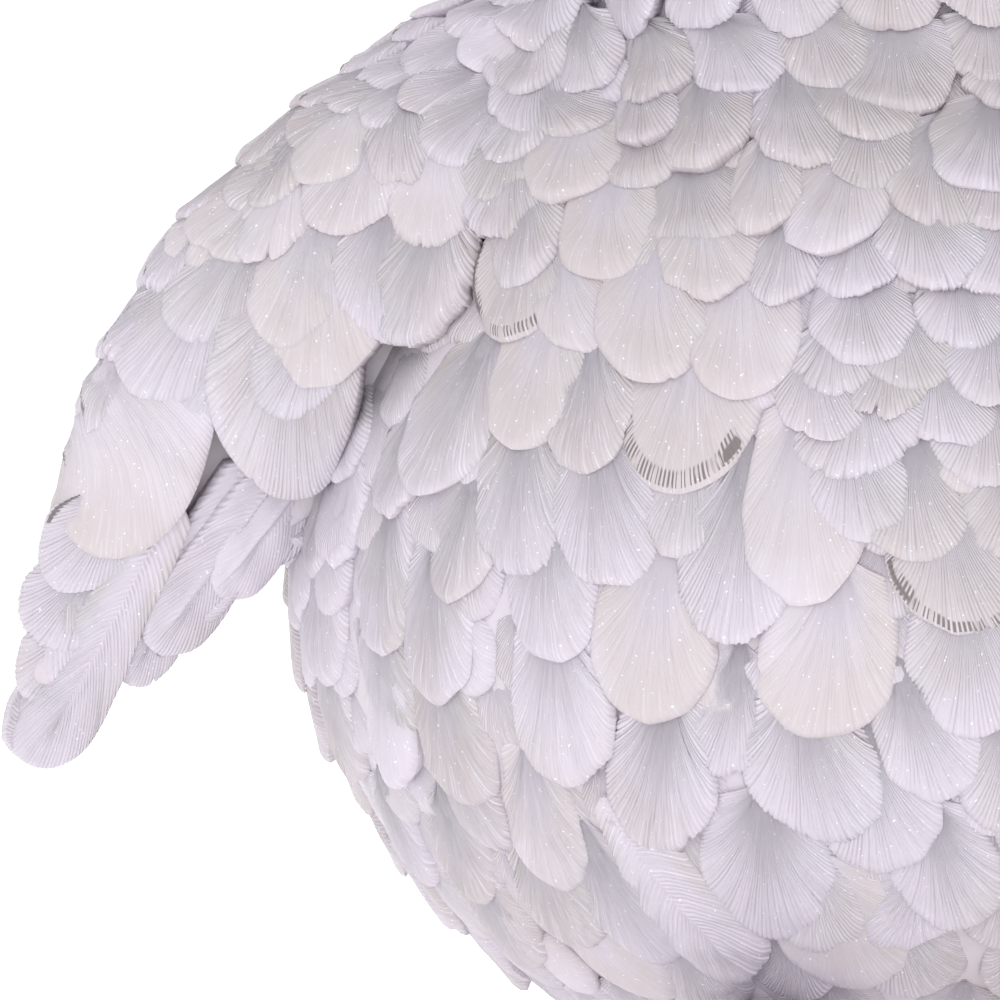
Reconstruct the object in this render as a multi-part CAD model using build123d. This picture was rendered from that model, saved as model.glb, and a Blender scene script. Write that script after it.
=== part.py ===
"""Snowy owl figurine, built from hollow resin castings that are glued and pinned together.

Millimetres, +Z up. The owl faces -Y, and its right side is at -X. The origin is the centre of the
footprint, on the surface that the figurine stands on.
"""

from build123d import *
import math
import os

# Points that a turned outline's curve passes through.
ARC_STATIONS = 7

# Driving dimensions of the body: two half ellipses of one radius, turned about the upright axis.
BODY_RADIUS = 73.0
BELLY_DROP = 61.0
BREAST_RISE = 70.0
EQUATOR_Z = 57.0
WALL = 6.0
HEAD_WALL = 8.0
FELT_THICKNESS = 1.2
FLOOR_THICKNESS = 7.0

# Neck joint: a round spigot under the head stands in a round seat in the body.
NECK_Z = 109.0
NECK_SEAT_DEPTH = 8.0
NECK_SEAT_RADIUS = 33.0
GLUE_GAP = 0.15
SPIGOT_WALL = 6.0

# Head: a dome whose widest ring is at the height of the cheeks.
HEAD_RADIUS = 50.5
CHEEK_Z = 137.0
HEAD_RISE = 57.0
CHEEK_DROP = 64.0

# Face.
EYE_RADIUS = 9.2
EYE_X = 18.5
EYE_Z = 147.0
EYE_INSET = 8.2
EYE_FLAT = 4.0
EYE_GLUE = 0.1
FACE_DISC_RADIUS = 90.0
FACE_DISC_DEPTH = 4.0

# Fasteners and small pieces.
PIN_RADIUS = 1.6
PIN_IN_WALL = 5.0
PIN_IN_WING = 7.0
DOWEL_RADIUS = 2.0
BUNG_RADIUS = 11.0
BUNG_TAPER = 0.8

# Feet.
FOOT_X = 21.0
FOOT_Y = -38.0
TOE_REACH = 22.0
TOE_RADIUS = 4.6
ANKLE_RADIUS = 8.5
ANKLE_Z = 2.2
CLAW_LENGTH = 9.0
CLAW_RADIUS = 1.9

# Right wing, from shoulder to tip: centre, long half axis, short half axis, chord angle.
# The chord angle is measured in the front elevation, from +X towards +Z.
WING_SECTIONS = [
    ((-46.0, -12.0, 113.0), 6.0, 5.5, 134.0),
    ((-50.0, -16.0, 107.5), 12.0, 10.5, 138.0),
    ((-57.5, -21.0, 96.0), 17.5, 13.5, 143.0),
    ((-67.0, -21.5, 80.5), 22.0, 11.5, 149.0),
    ((-80.0, -19.0, 67.0), 16.5, 8.0, 154.0),
    ((-88.3, -15.0, 55.0), 10.5, 5.4, 160.0),
    ((-93.8, -11.5, 44.5), 6.6, 4.2, 166.0),
    ((-96.3, -9.3, 37.5), 4.4, 3.0, 170.0),
    ((-96.6, -8.8, 34.8), 2.2, 1.5, 172.0),
]
WING_PIN_HEIGHTS = (70.0, 88.0)
WING_PIN_TURN = 197.0

# Tail, from rump to tip: centre, half width, half thickness.
TAIL_SECTIONS = [
    ((0.0, 46.0, 42.0), 17.0, 10.0),
    ((0.0, 63.0, 28.0), 22.0, 8.0),
    ((0.0, 78.0, 16.0), 25.0, 5.6),
    ((0.0, 90.0, 7.5), 20.0, 3.6),
]
TAIL_PIN_Z = 30.0


def ellipse_point(radius, height, z_centre, z):
    """Radius of an ellipse of revolution at height z."""
    share = (z - z_centre) / height
    return radius * math.sqrt(max(0.0, 1.0 - share * share))


def ellipse_arc(radius, height, z_centre, z_from, z_to):
    """Arc of the ellipse from z_from up to z_to, in the half plane of radius and height."""
    start = math.asin((z_from - z_centre) / height)
    end = math.asin((z_to - z_centre) / height)
    points = []
    tangents = []
    for step in range(ARC_STATIONS):
        turn = start + (end - start) * step / (ARC_STATIONS - 1)
        points.append((radius * math.cos(turn), z_centre + height * math.sin(turn)))
        tangents.append((-radius * math.sin(turn), height * math.cos(turn)))
    points[0] = (points[0][0], z_from)
    points[-1] = (max(points[-1][0], 0.0), z_to)
    return Spline(*points, tangents=[tangents[0], tangents[-1]])


def turned(*edges):
    """Solid of revolution about Z of a closed outline of radius and height."""
    return revolve(Plane.XZ * make_face(Wire(list(edges))), axis=Axis.Z)


def body_form(radius, drop, rise, z_low, z_high):
    """Solid egg between two heights."""
    low = ellipse_point(radius, drop, EQUATOR_Z, z_low)
    high = ellipse_point(radius, rise, EQUATOR_Z, z_high)
    return turned(
        Line((0, z_low), (low, z_low)),
        ellipse_arc(radius, drop, EQUATOR_Z, z_low, EQUATOR_Z),
        ellipse_arc(radius, rise, EQUATOR_Z, EQUATOR_Z, z_high),
        Line((high, z_high), (0, z_high)),
        Line((0, z_high), (0, z_low)),
    )


def head_form(radius, drop, rise, z_low):
    """Solid dome with a straight cut at its underside."""
    low = ellipse_point(radius, drop, CHEEK_Z, z_low)
    return turned(
        Line((0, z_low), (low, z_low)),
        ellipse_arc(radius, drop, CHEEK_Z, z_low, CHEEK_Z),
        ellipse_arc(radius, rise, CHEEK_Z, CHEEK_Z, CHEEK_Z + rise),
        Line((0, CHEEK_Z + rise), (0, z_low)),
    )


def upright_cylinder(radius, z_low, z_high):
    return Pos(0, 0, (z_low + z_high) / 2) * Cylinder(radius, z_high - z_low)


def rod(start, end, radius):
    """Round rod between two points."""
    start = Vector(*start)
    span = Vector(*end) - start
    frame = Plane(origin=start, z_dir=span)
    return frame * (Pos(0, 0, span.length / 2) * Cylinder(radius, span.length))


def mirrored(shape):
    """The same piece on the owl's left side."""
    return mirror(shape, about=Plane.YZ)


# ---------------------------------------------------------------- castings


def body_outer():
    return body_form(BODY_RADIUS, BELLY_DROP, BREAST_RISE, FELT_THICKNESS, NECK_Z)


def body_cavity():
    """Hollow of the body, up to the underside of the neck seat, and the seat's bore."""
    low = FELT_THICKNESS + FLOOR_THICKNESS
    high = NECK_Z - NECK_SEAT_DEPTH
    hollow = body_form(BODY_RADIUS - WALL, BELLY_DROP - WALL, BREAST_RISE - WALL, low, high)
    return hollow + upright_cylinder(NECK_SEAT_RADIUS, high - 1, NECK_Z + 1)


def head_outer():
    return head_form(HEAD_RADIUS, CHEEK_DROP, HEAD_RISE, NECK_Z)


def head_shell():
    """Hollow head on its spigot."""
    spigot_radius = NECK_SEAT_RADIUS - GLUE_GAP
    spigot = upright_cylinder(spigot_radius, NECK_Z - NECK_SEAT_DEPTH, NECK_Z + 1)
    inside = NECK_Z + HEAD_WALL
    passage = upright_cylinder(spigot_radius - SPIGOT_WALL, NECK_Z - NECK_SEAT_DEPTH - 1, inside + 1)
    hollow = head_form(HEAD_RADIUS - HEAD_WALL, CHEEK_DROP - HEAD_WALL, HEAD_RISE - HEAD_WALL, inside)
    return head_outer() + spigot - passage - hollow


def section_loft(sections):
    """Smooth solid through ellipses. Each section is a plane, a long and a short half axis."""
    return loft([frame * Ellipse(long_axis, short_axis) for frame, long_axis, short_axis in sections])


def wing_frames():
    """Planes of the right wing's sections, square to the wing's line, long axis on the chord."""
    frames = []
    for centre, _, _, chord in WING_SECTIONS:
        turn = math.radians(chord)
        along_chord = Vector(math.cos(turn), 0, math.sin(turn))
        down_wing = Vector(-math.sin(turn), 0, math.cos(turn)) * -1
        frames.append(Plane(origin=centre, x_dir=along_chord, z_dir=down_wing * -1))
    return frames


def wing_blade():
    """Blade of the right wing, which narrows at the shoulder and at the tip."""
    sections = []
    for frame, (_, long_axis, short_axis, _) in zip(wing_frames(), WING_SECTIONS):
        sections.append((frame, long_axis, short_axis))
    return section_loft(sections)


def tail_fan():
    """Flat fan that runs down and back from the rump."""
    sections = []
    for index, (centre, half_width, half_thickness) in enumerate(TAIL_SECTIONS):
        near = Vector(*TAIL_SECTIONS[max(0, index - 1)][0])
        far = Vector(*TAIL_SECTIONS[min(len(TAIL_SECTIONS) - 1, index + 1)][0])
        frame = Plane(origin=centre, x_dir=(1, 0, 0), z_dir=far - near)
        sections.append((frame, half_width, half_thickness))
    return section_loft(sections)


def foot_form():
    """Feathered right foot: an ankle mound and three toes, flat underneath."""
    ankle = Pos(-FOOT_X, FOOT_Y + 2, ANKLE_Z) * Sphere(ANKLE_RADIUS)
    foot = ankle
    for start, end in toe_lines():
        foot += rod(start, end, TOE_RADIUS)
        foot += Pos(*start) * Sphere(TOE_RADIUS)
        foot += Pos(*end) * Sphere(TOE_RADIUS)
    below = Pos(0, 0, -20) * Box(300, 300, 40)
    return foot - below


def toe_lines():
    """Start and end of each toe of the right foot."""
    lines = []
    for spread in (-24, 0, 24):
        turn = math.radians(spread)
        start = (-FOOT_X + 4 * math.sin(turn), FOOT_Y, TOE_RADIUS)
        end = (
            -FOOT_X + TOE_REACH * math.sin(turn),
            FOOT_Y - TOE_REACH * math.cos(turn) + 4,
            TOE_RADIUS - 0.8,
        )
        lines.append((start, end))
    return lines


def claws():
    """Three hooked claws of the right foot, each a tapering bent horn set on its toe's end."""
    horns = []
    for start, end in toe_lines():
        ahead = (Vector(*end) - Vector(*start)).normalized()
        root = Vector(*end) + ahead * (TOE_RADIUS - 2.2)
        stations = []
        for share, drop, radius in ((0.0, 0.0, 1.0), (0.4, 0.25, 0.85), (0.75, 1.2, 0.55), (1.0, 2.4, 0.15)):
            centre = root + ahead * (share * CLAW_LENGTH) - Vector(0, 0, drop)
            normal = ahead - Vector(0, 0, share * 0.5)
            stations.append((Plane(origin=centre, z_dir=normal), CLAW_RADIUS * radius, CLAW_RADIUS * radius))
        horns.append(section_loft(stations))
    return horns


# ---------------------------------------------------------------- face


def eye_frame():
    """Plane at the centre of the right eye, its normal pointing out of the face."""
    around = ellipse_point(HEAD_RADIUS, HEAD_RISE, CHEEK_Z, EYE_Z)
    outwards = Vector(-EYE_X, -math.sqrt(around**2 - EYE_X**2), 0).normalized()
    centre = outwards * (around - EYE_INSET) + Vector(0, 0, EYE_Z)
    return Plane(origin=centre, z_dir=outwards)


def cap(radius, flat):
    """Ball cut flat at a distance in front of its centre."""
    return Sphere(radius) & (Pos(0, 0, flat + radius) * Box(4 * radius, 4 * radius, 2 * radius))


def face_dish():
    """Ball that hollows the face around the right eye."""
    frame = eye_frame()
    out = EYE_INSET + FACE_DISC_RADIUS - FACE_DISC_DEPTH
    return frame * (Pos(0, 0, out) * Sphere(FACE_DISC_RADIUS))


def beak_form():
    """Short hooked beak between and below the eyes."""
    stations = [
        ((0, -44.0, EYE_Z - 1), (0, -1, -0.1), 5.2, 6.5),
        ((0, -51.0, EYE_Z - 3), (0, -1, -0.6), 4.8, 5.6),
        ((0, -55.0, EYE_Z - 8), (0, -0.5, -1), 3.6, 3.9),
        ((0, -55.2, EYE_Z - 13.5), (0, 0.1, -1), 1.9, 2.0),
        ((0, -54.2, EYE_Z - 17), (0, 0.35, -1), 0.4, 0.5),
    ]
    return section_loft([(Plane(origin=at, x_dir=(1, 0, 0), z_dir=to), a, b) for at, to, a, b in stations])


# ---------------------------------------------------------------- pins and holes


def wing_pins():
    """Two steel pins of the right wing, from the body's wall into the wing's root."""
    turn = math.radians(WING_PIN_TURN)
    outwards = Vector(math.cos(turn), math.sin(turn), 0)
    pins = []
    for z in WING_PIN_HEIGHTS:
        rise = BREAST_RISE if z > EQUATOR_Z else BELLY_DROP
        surface = ellipse_point(BODY_RADIUS, rise, EQUATOR_Z, z)
        lift = Vector(0, 0, z)
        start = outwards * (surface - PIN_IN_WALL) + lift
        end = outwards * (surface + PIN_IN_WING) + lift
        pins.append(rod(tuple(start), tuple(end), PIN_RADIUS))
    return pins


def tail_pin():
    around = ellipse_point(BODY_RADIUS, BELLY_DROP, EQUATOR_Z, TAIL_PIN_Z)
    return rod((0, around - PIN_IN_WALL, TAIL_PIN_Z + 2), (0, around + 8, TAIL_PIN_Z - 6), PIN_RADIUS)


def foot_dowel():
    """Dowel of the right foot, square to the belly."""
    around = math.hypot(FOOT_X, FOOT_Y)
    share = math.sqrt(1 - (around / BODY_RADIUS) ** 2)
    z = EQUATOR_Z - BELLY_DROP * share
    slope = Vector(-FOOT_X / BODY_RADIUS**2, FOOT_Y / BODY_RADIUS**2, (z - EQUATOR_Z) / BELLY_DROP**2)
    surface = Vector(-FOOT_X, FOOT_Y, z)
    outwards = slope.normalized()
    return rod(tuple(surface - outwards * PIN_IN_WALL), tuple(surface + outwards * 5), DOWEL_RADIUS)


def bung():
    """Tapered rubber bung in the filling hole."""
    low = FELT_THICKNESS
    shape = Cone(BUNG_RADIUS, BUNG_RADIUS - BUNG_TAPER, FLOOR_THICKNESS)
    return Pos(0, 0, low + FLOOR_THICKNESS / 2) * shape


def felt_pad():
    radius = ellipse_point(BODY_RADIUS, BELLY_DROP, EQUATOR_Z, FELT_THICKNESS)
    return upright_cylinder(radius - 1.0, 0, FELT_THICKNESS)


def build():
    """Every piece by name, all in one frame about the body's axis."""
    right_pins, pin_of_tail, dowel = wing_pins(), tail_pin(), foot_dowel()
    stopper, outer = bung(), body_outer()

    both_pins = right_pins + [mirrored(pin) for pin in right_pins]
    body = outer - body_cavity() - stopper - pin_of_tail
    for hole in both_pins + [dowel, mirrored(dowel)]:
        body -= hole

    wing = wing_blade() - outer - head_outer()
    for hole in right_pins:
        wing -= hole
    tail = tail_fan() - outer - pin_of_tail

    horns = claws()
    foot = foot_form() - outer - dowel - Pos(0, 0, 0.6) * Cylinder(32, FELT_THICKNESS + 0.4)
    horns = [horn - foot for horn in horns]

    frame = eye_frame()
    eye = frame * cap(EYE_RADIUS, EYE_FLAT)
    socket = frame * cap(EYE_RADIUS + EYE_GLUE, EYE_FLAT - EYE_GLUE)
    head = head_shell() - face_dish() - mirrored(face_dish())
    beak = beak_form() - head_outer()
    head = head - socket - mirrored(socket)

    pieces = {
        "body_casting": body,
        "head_casting": head,
        "right_wing_casting": wing,
        "left_wing_casting": mirrored(wing),
        "tail_casting": tail,
        "right_foot_casting": foot,
        "left_foot_casting": mirrored(foot),
        "right_foot_claws": Compound(horns),
        "left_foot_claws": Compound([mirrored(horn) for horn in horns]),
        "right_eye": eye,
        "left_eye": mirrored(eye),
        "beak": beak,
        "right_wing_pins": Compound(right_pins),
        "left_wing_pins": Compound([mirrored(pin) for pin in right_pins]),
        "tail_pin": pin_of_tail,
        "right_foot_dowel": dowel,
        "left_foot_dowel": mirrored(dowel),
        "filling_hole_bung": stopper,
        "felt_pad": felt_pad(),
    }
    return pieces


def centred(pieces):
    """The same pieces, moved along Y so that the footprint's centre is the origin."""
    boxes = [piece.bounding_box() for piece in pieces.values()]
    middle = (min(box.min.Y for box in boxes) + max(box.max.Y for box in boxes)) / 2
    return {name: Pos(0, -middle, 0) * piece for name, piece in pieces.items()}


os.makedirs("parts", exist_ok=True)
for name, piece in centred(build()).items():
    export_step(piece, f"parts/{name}.step")
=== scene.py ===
"""Looks of the snowy owl figurine: carved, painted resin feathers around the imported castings.

Shapes are worked out in millimetres about the body's upright axis and turned into metres when a
mesh is made. The owl faces -Y. Places on the front are given as (x, z), seen from the front.
"""

import math

import bpy
import numpy as np
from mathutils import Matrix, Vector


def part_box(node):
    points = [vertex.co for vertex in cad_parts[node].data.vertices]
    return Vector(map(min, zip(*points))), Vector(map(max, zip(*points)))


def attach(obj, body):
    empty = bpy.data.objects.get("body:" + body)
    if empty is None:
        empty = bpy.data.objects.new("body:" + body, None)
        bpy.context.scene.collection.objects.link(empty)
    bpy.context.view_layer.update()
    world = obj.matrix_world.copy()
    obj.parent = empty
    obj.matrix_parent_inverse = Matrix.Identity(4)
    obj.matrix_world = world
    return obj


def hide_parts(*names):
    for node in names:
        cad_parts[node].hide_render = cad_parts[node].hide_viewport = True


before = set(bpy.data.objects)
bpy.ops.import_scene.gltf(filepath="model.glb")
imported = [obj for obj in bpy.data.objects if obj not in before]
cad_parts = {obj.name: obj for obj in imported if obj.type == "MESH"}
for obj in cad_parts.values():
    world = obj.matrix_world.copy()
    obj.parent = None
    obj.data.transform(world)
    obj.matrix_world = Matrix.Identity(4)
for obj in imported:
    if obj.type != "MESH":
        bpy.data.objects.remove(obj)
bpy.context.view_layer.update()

MM = 0.001
MIRROR = np.array([-1.0, 1.0, 1.0])
RNG = np.random.default_rng(20)

BODY_LOW, BODY_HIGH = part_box("body_casting")
AXIS_Y = (BODY_LOW.y + BODY_HIGH.y) / 2 / MM

# The castings' outer forms, as eggs of revolution about the axis.
BODY_RADIUS = 73.0
BELLY_DROP = 61.0
BREAST_RISE = 70.0
EQUATOR_Z = 57.0
HEAD_RADIUS = 50.5
CHEEK_DROP = 64.0
HEAD_RISE = 57.0
CHEEK_Z = 137.0
NECK_BLEND = 9.0

# Feathers lie on a skin inside the castings' outer form, so that their tips reach that form.
SKIN_DEPTH = 1.8
CORE_DEPTH = 2.7
FLOOR_CLEARANCE = 0.4
SETTLE_ROUNDS = 6

# The feathers of the front, laid one by one, reach this far down, up and to the sides.
FRONT_LOW = 18.0
FRONT_HIGH = 117.0
FRONT_HALF_WIDTH = 66.0

# Above this height the shoulders are filled between the body and the wings.
SHOULDER_Z = 76.0

# No feather of the body is laid deeper inside a wing than this, nor nearer to it in the fold below.
INSIDE_WING = -6.0
FOLD_TOP = 80.0
FOLD_GAP = 2.5

# Feathers nearer the middle than this are laid once, not mirrored.
MIDDLE = 4.0

# Feather relief: how high tip and root stand off the skin, how far the sides fall away, how wide
# and deep the rounded rim is, how thick the feather is, and the size of its barbs and its waves.
TIP_RISE = 1.75
ROOT_LIFT = -0.5
CROWN = 0.7
RIM_WIDTH = 1.5
RIM_DROP = 0.75
THICKNESS = 2.2
UNDERCUT = 0.5
BARB_SPACING = 0.48
BARB_HEIGHT = 0.12
BARB_COLUMNS = 3
BROAD_WAVES = 0.24
LONG_WAVES = 0.14
SHAFT_HEIGHT = 0.35
RIM_DISTANCES = (1.7, 0.95, 0.5, 0.24, 0.07, 0.0)
COARSE_RIM_DISTANCES = (1.5, 0.6, 0.15, 0.0)
MAX_TRIANGLES = 170_000

# Outline of each kind of feather: how much its sides draw in, how near the root they end, and the
# share of the rim that goes round the blunt end.
OUTLINES = {"fan": (0.3, 0.15, 0.6), "shaft": (0.45, 0.1, 0.42)}


# ------------------------------------------------------------------ base forms


def egg_field(points, radius, drop, rise, equator):
    """Distance outside the skin of an egg of revolution, and the outward normal there."""
    height = np.where(points[:, 2] > equator, rise, drop) - SKIN_DEPTH
    width = np.full(len(points), radius - SKIN_DEPTH)
    half = np.stack([width, width, height], 1)
    share = (points - [0, 0, equator]) / half
    length = np.linalg.norm(share, axis=1, keepdims=True) + 1e-9
    gradient = share / half / length
    slope = np.linalg.norm(gradient, axis=1, keepdims=True)
    return ((length - 1) / slope)[:, 0], gradient / slope


def blend_fields(first, second, reach):
    """Smooth union of two fields."""
    share = np.clip(0.5 + 0.5 * (second[0] - first[0]) / reach, 0, 1)
    distance = second[0] * (1 - share) + first[0] * share - reach * share * (1 - share)
    share = share.reshape(-1, 1)
    normal = second[1] * (1 - share) + first[1] * share
    return distance, normal / np.linalg.norm(normal, axis=1, keepdims=True)


def body_field(points):
    """Skin of the body and the head in one."""
    body = egg_field(points, BODY_RADIUS, BELLY_DROP, BREAST_RISE, EQUATOR_Z)
    head = egg_field(points, HEAD_RADIUS, CHEEK_DROP, HEAD_RISE, CHEEK_Z)
    return blend_fields(body, head, NECK_BLEND)


def flip_to_right(points):
    """Factors that bring points of the owl's left side over to its right side."""
    return np.where(points[:, :1] > 0, MIRROR, 1.0)


# Right wing from the shoulder to the tip: centre, half chord, half thickness, chord's direction.
WING_CENTRES = np.array([
    (-46.0, -12.0, 113.0), (-50.0, -16.0, 107.5), (-57.5, -21.0, 96.0), (-67.0, -21.5, 80.5),
    (-80.0, -19.0, 67.0), (-88.3, -15.0, 55.0), (-93.8, -11.5, 44.5), (-96.5, -8.8, 34.8),
])
WING_HALF_CHORDS = np.array([6.0, 12.0, 17.5, 22.0, 16.5, 10.5, 6.6, 2.4])
WING_HALF_DEPTHS = np.array([5.5, 10.5, 13.5, 11.5, 8.0, 5.4, 4.2, 1.6])
WING_CHORD_TURNS = np.radians([134.0, 138.0, 143.0, 149.0, 154.0, 160.0, 166.0, 172.0])


def wing_at(station):
    """Centre, half chord, half depth and the chord's direction at stations along the wing."""
    steps = np.arange(len(WING_CENTRES))
    centre = np.stack([np.interp(station, steps, WING_CENTRES[:, k]) for k in range(3)], -1)
    half_chord = np.interp(station, steps, WING_HALF_CHORDS)
    half_depth = np.interp(station, steps, WING_HALF_DEPTHS)
    turn = np.interp(station, steps, WING_CHORD_TURNS)
    chord = np.stack([np.cos(turn), 0 * turn, np.sin(turn)], -1)
    return centre, half_chord, half_depth, chord


def nearest_station(points):
    """Station of the wing nearest to each point."""
    best = np.full(len(points), np.inf)
    station = np.zeros(len(points))
    for index in range(len(WING_CENTRES) - 1):
        start = WING_CENTRES[index]
        span = WING_CENTRES[index + 1] - start
        share = np.clip((points - start) @ span / (span @ span), 0, 1)
        gap = np.linalg.norm(points - start - share[:, None] * span, axis=1)
        nearer = gap < best
        best = np.where(nearer, gap, best)
        station = np.where(nearer, index + share, station)
    return station


def wing_field(points):
    """Skin of the right wing's blade."""
    centre, half_chord, half_depth, chord = wing_at(nearest_station(points))
    half_chord = np.maximum(half_chord - SKIN_DEPTH, 0.8)[:, None]
    half_depth = np.maximum(half_depth - SKIN_DEPTH, 0.6)[:, None]
    offset = points - centre
    along = np.sum(offset * chord, 1, keepdims=True)
    forward = offset[:, 1:2]
    share = np.hstack([along / half_chord, forward / half_depth])
    length = np.linalg.norm(share, axis=1, keepdims=True) + 1e-9
    gradient = chord * share[:, 0:1] / half_chord
    gradient[:, 1:2] += share[:, 1:2] / half_depth
    gradient /= length
    slope = np.linalg.norm(gradient, axis=1, keepdims=True)
    return ((length - 1) / slope)[:, 0], gradient / slope


def owl_field(points):
    """Skin of the body, the head and both wings, with the shoulders filled between them."""
    flip = flip_to_right(points)
    distance, normal = wing_field(points * flip)
    reach = np.interp(points[:, 2], [60, 88], [3, 20])[:, None]
    body = body_field(points)
    join = (distance[:, None], normal * flip)
    distance, normal = blend_fields((body[0][:, None], body[1]), join, reach)
    return distance[:, 0], normal


def settle(points, field):
    """Moves points onto a field's surface, and returns them with the surface's normals."""
    for _ in range(SETTLE_ROUNDS):
        distance, normal = field(points)
        points = points - distance[:, None] * normal
    return points, normal


# The flat end of the wing, where the flight feathers lie: its lowest point, which way it runs
# up to the shoulder seen from the front, and how fast its front and back come forward on the way.
END_POINT = np.array([-96.5, 34.8])
END_LINE = np.array([0.456, 0.890])
END_DEPTHS = {-1: -8.4, 1: -8.2}
END_SLOPES = {-1: -0.5, 1: -0.13}
END_CROWN = 0.02


def wing_end(side):
    """Front (side -1) or back (side 1) of the wing's flat end, over (x, z)."""

    def on_end(points):
        gap = points[:, [0, 2]] - END_POINT
        off_line = np.clip(gap[:, 0] * END_LINE[1] - gap[:, 1] * END_LINE[0], -12, 12)
        placed = points.copy()
        placed[:, 1] = END_DEPTHS[side] + END_SLOPES[side] * gap[:, 1] - side * END_CROWN * off_line**2
        turned = -2 * side * END_CROWN * off_line
        slope_x = turned * END_LINE[1]
        slope_z = END_SLOPES[side] - turned * END_LINE[0]
        normal = side * np.stack([-slope_x, np.ones(len(points)), -slope_z], 1)
        return placed, normal / np.linalg.norm(normal, axis=1, keepdims=True)

    return on_end


def on_skin(points):
    return settle(points, body_field)


def on_owl(points):
    return settle(points, owl_field)


def on_blade(points):
    return settle(points, wing_field)


# ------------------------------------------------------------------ one feather


def rim_outline(place, width, length, kind):
    """Rim of a feather whose root is the origin and which points along +b."""
    blunt = min(0.42 * length, 0.62 * width)
    taper, low, arc_share = OUTLINES[kind]
    side = np.abs(place)
    turn = np.minimum(side / arc_share, 1) * math.pi / 2
    down = np.maximum(side - arc_share, 0) / (1 - arc_share)
    reach = length - blunt
    across = 0.5 * width * np.sin(turn) * (1 - taper * down**1.6 * (1 - low))
    along = reach * (1 - down) + low * length * down + blunt * np.cos(turn)
    return np.stack([np.sign(place) * across, along], 1)


def smooth_step(low, high, value):
    share = np.clip((value - low) / (high - low), 0, 1)
    return share * share * (3 - 2 * share)


def wander(count, waves, strength):
    """Gentle random line of a few waves, for count points."""
    place = np.linspace(0, 2 * math.pi, count)
    line = np.zeros(count)
    for wave in range(1, waves + 1):
        line += RNG.normal() / wave * np.sin(wave * place + RNG.uniform(0, 2 * math.pi))
    return strength * line


def barb_relief(columns, fine):
    """Ridge height of each column of vertices: narrow grooves between broad, uneven ridges."""
    if not fine:
        return np.zeros(columns)
    profile = np.resize([-1.0, 0.45, 0.4], columns)
    strength = np.repeat(RNG.uniform(0.35, 1.25, columns // BARB_COLUMNS + 1), BARB_COLUMNS)[:columns]
    return profile * strength


def rim_wear(place, rim, ragged):
    """Shortens the rim here and there, so that barbs end unevenly and part in places."""
    count = len(place)
    cut = np.abs(wander(count, 7, 0.28 + 0.3 * ragged))
    cut += RNG.uniform(0, 0.4, count) * ragged
    for _ in range(RNG.integers(0, 2 + int(4 * ragged))):
        centre = RNG.uniform(-0.65, 0.65)
        spread = RNG.uniform(0.012, 0.035)
        cut += RNG.uniform(0.2, 0.5 + 0.6 * ragged) * np.exp(-(((place - centre) / spread) ** 2))
    inwards = np.array([0.0, 0.45 * rim[:, 1].max()]) - rim
    inwards /= np.linalg.norm(inwards, axis=1, keepdims=True)
    return rim + inwards * cut[:, None]


def rim_distances(feather):
    return RIM_DISTANCES if feather["fine"] else COARSE_RIM_DISTANCES


def barb_rows(rim, control, feather):
    """Shares of the way from the root to the rim, in rows that crowd towards the rim."""
    count = int(5 + feather["length"] / 4) if feather["fine"] else 4
    distances = np.array(rim_distances(feather))
    pace = np.maximum(2 * np.linalg.norm(rim - control, axis=1), 1.0)
    edge = np.clip(1 - distances[:, None] / pace, 0.5, 1)
    coarse = np.linspace(0.0, 1.0, count, endpoint=False)[:, None] * edge[:1]
    return np.vstack([coarse, edge])


def flat_feather(feather):
    """Feather in its own plane: (a, b) of each row and column, the rows' shares, and the relief."""
    width, length, kind = feather["width"], feather["length"], feather["kind"]
    arc = 2.2 * width if kind == "fan" else 0.6 * width + 0.9 * length
    barbs = int(arc / BARB_SPACING)
    columns = barbs * BARB_COLUMNS if feather["fine"] else max(20, int(barbs * 0.4))
    place = np.linspace(-1, 1, columns)
    rim = rim_wear(place, rim_outline(place, width, length, kind), feather["ragged"])
    if kind == "shaft":
        root = np.stack([0 * place, rim[:, 1].max() * (0.04 + 0.8 * (1 - np.abs(place)) ** 0.9)], 1)
        control = np.stack([0.55 * rim[:, 0], 0.62 * root[:, 1] + 0.38 * rim[:, 1]], 1)
    else:
        root = np.stack([0.05 * rim[:, 0], 0.03 * rim[:, 1]], 1)
        control = np.stack([0.24 * rim[:, 0], 0.62 * rim[:, 1]], 1)
    share = barb_rows(rim, control, feather)[:, :, None]
    flat = (1 - share) ** 2 * root + 2 * share * (1 - share) * control + share**2 * rim
    flat[:, :, 0] += feather["bend"] * (flat[:, :, 1] / length) ** 2
    strength = BARB_HEIGHT * (1 - 0.8 * feather["smooth"]) * (0.6 if kind == "shaft" else 1.0)
    relief = barb_relief(columns, feather["fine"]) * strength
    return flat, share[:, :, 0], relief, place, barbs


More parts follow.
